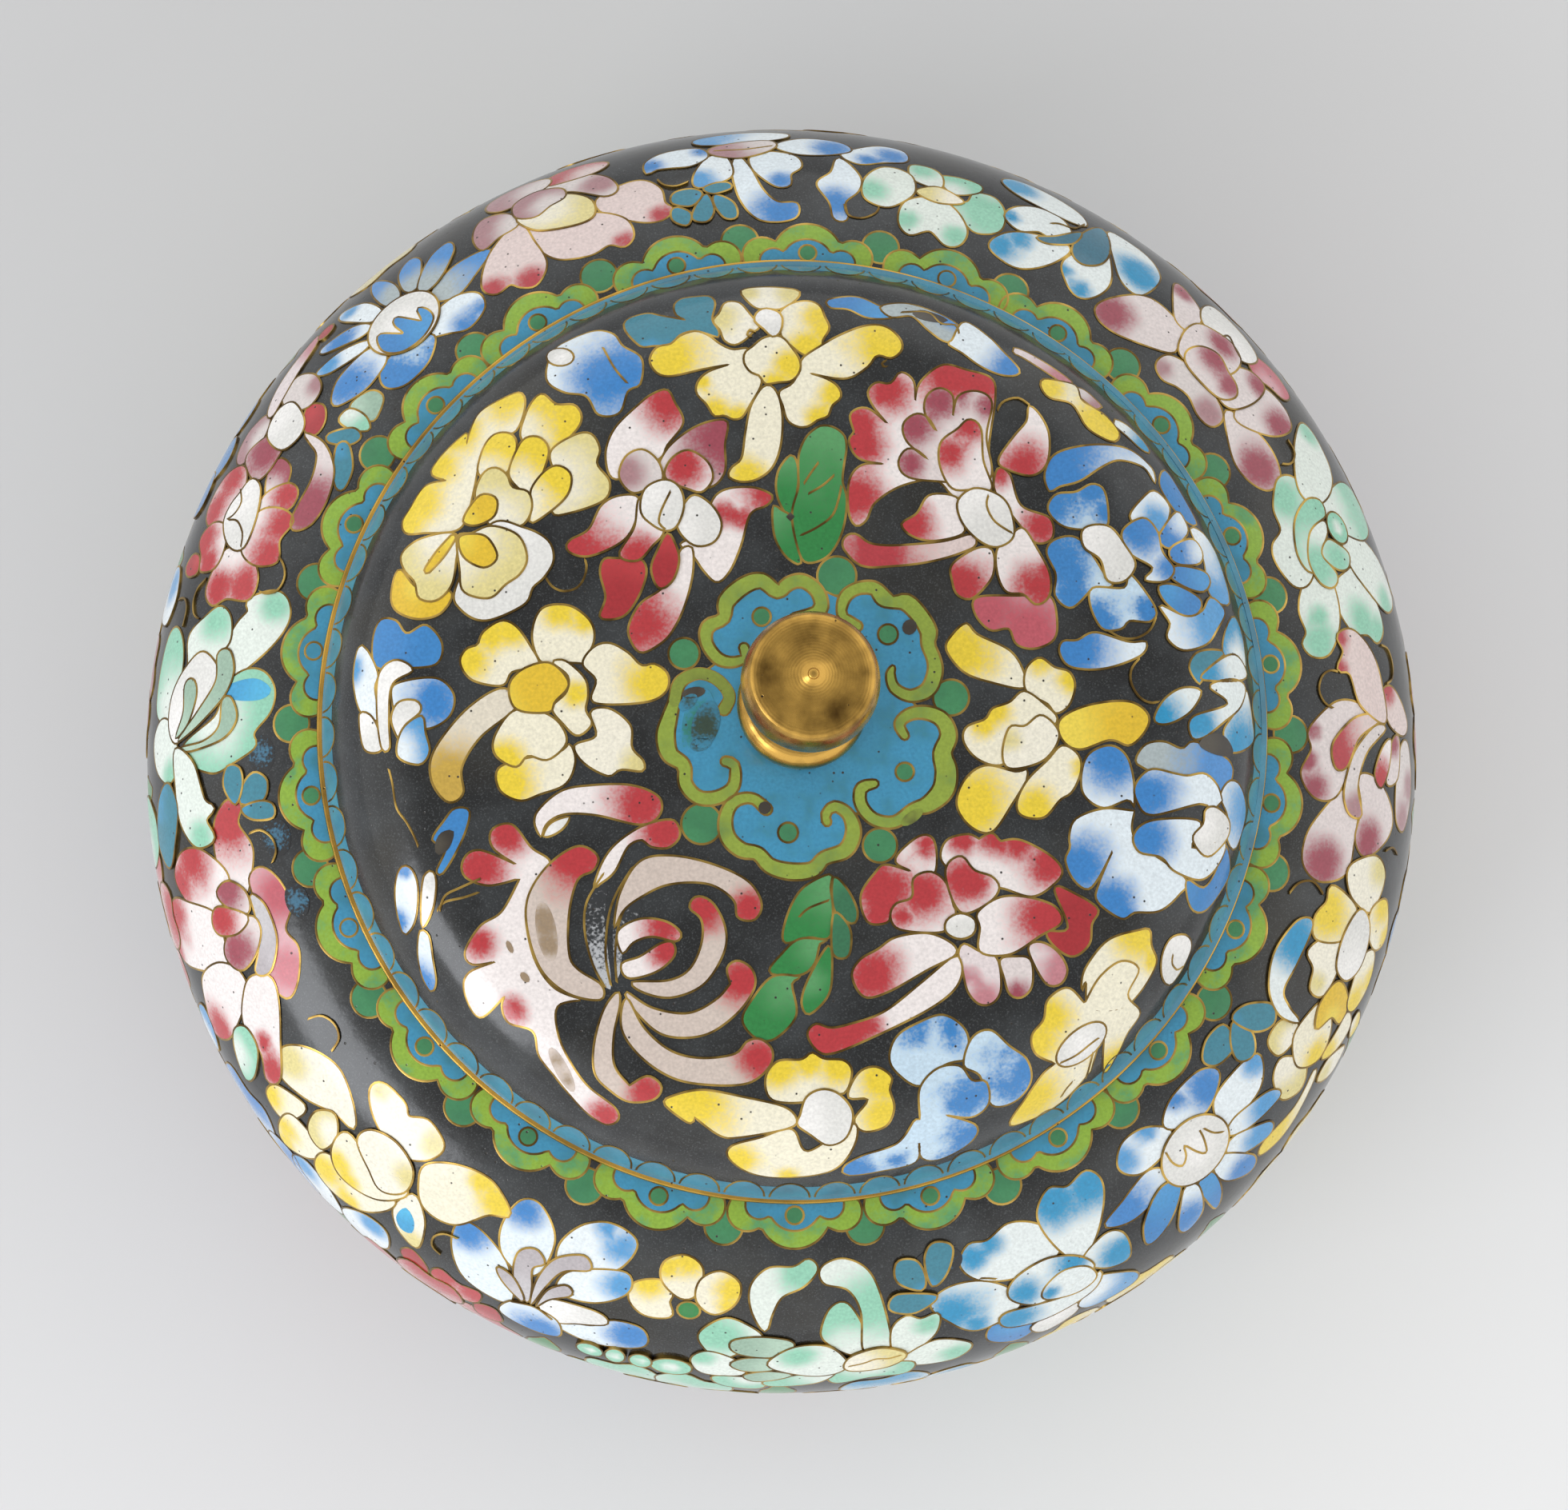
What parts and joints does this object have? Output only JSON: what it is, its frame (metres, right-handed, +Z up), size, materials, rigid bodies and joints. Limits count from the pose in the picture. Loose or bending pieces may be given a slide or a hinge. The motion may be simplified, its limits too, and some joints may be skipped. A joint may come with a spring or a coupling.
{
  "type": "lidded jar",
  "caption": "Squat round cloisonné jar with a hollow body on a foot ring, a domed lift-off lid and a turned brass knob",
  "frame": {"origin": "middle of the foot ring's underside, on the surface that the jar stands on", "axes": "+Z is up along the turned axis; +X and +Y are the picture's right and up as seen from above"},
  "size_m": [0.15, 0.15, 0.1039],
  "materials": {
    "enamel_ground": "polished black enamel on copper, slightly clouded and pitted",
    "enamel_colours": "polished coloured enamel cells, speckled and shaded from white",
    "enamel_lining": "plain turquoise enamel lining",
    "gilt_brass": "polished gilt brass, tarnished in places"
  },
  "bodies": {
    "root": {"jar_body": "enamel_ground", "lid": "enamel_ground", "knob": "gilt_brass"}
  },
  "joints": []
}
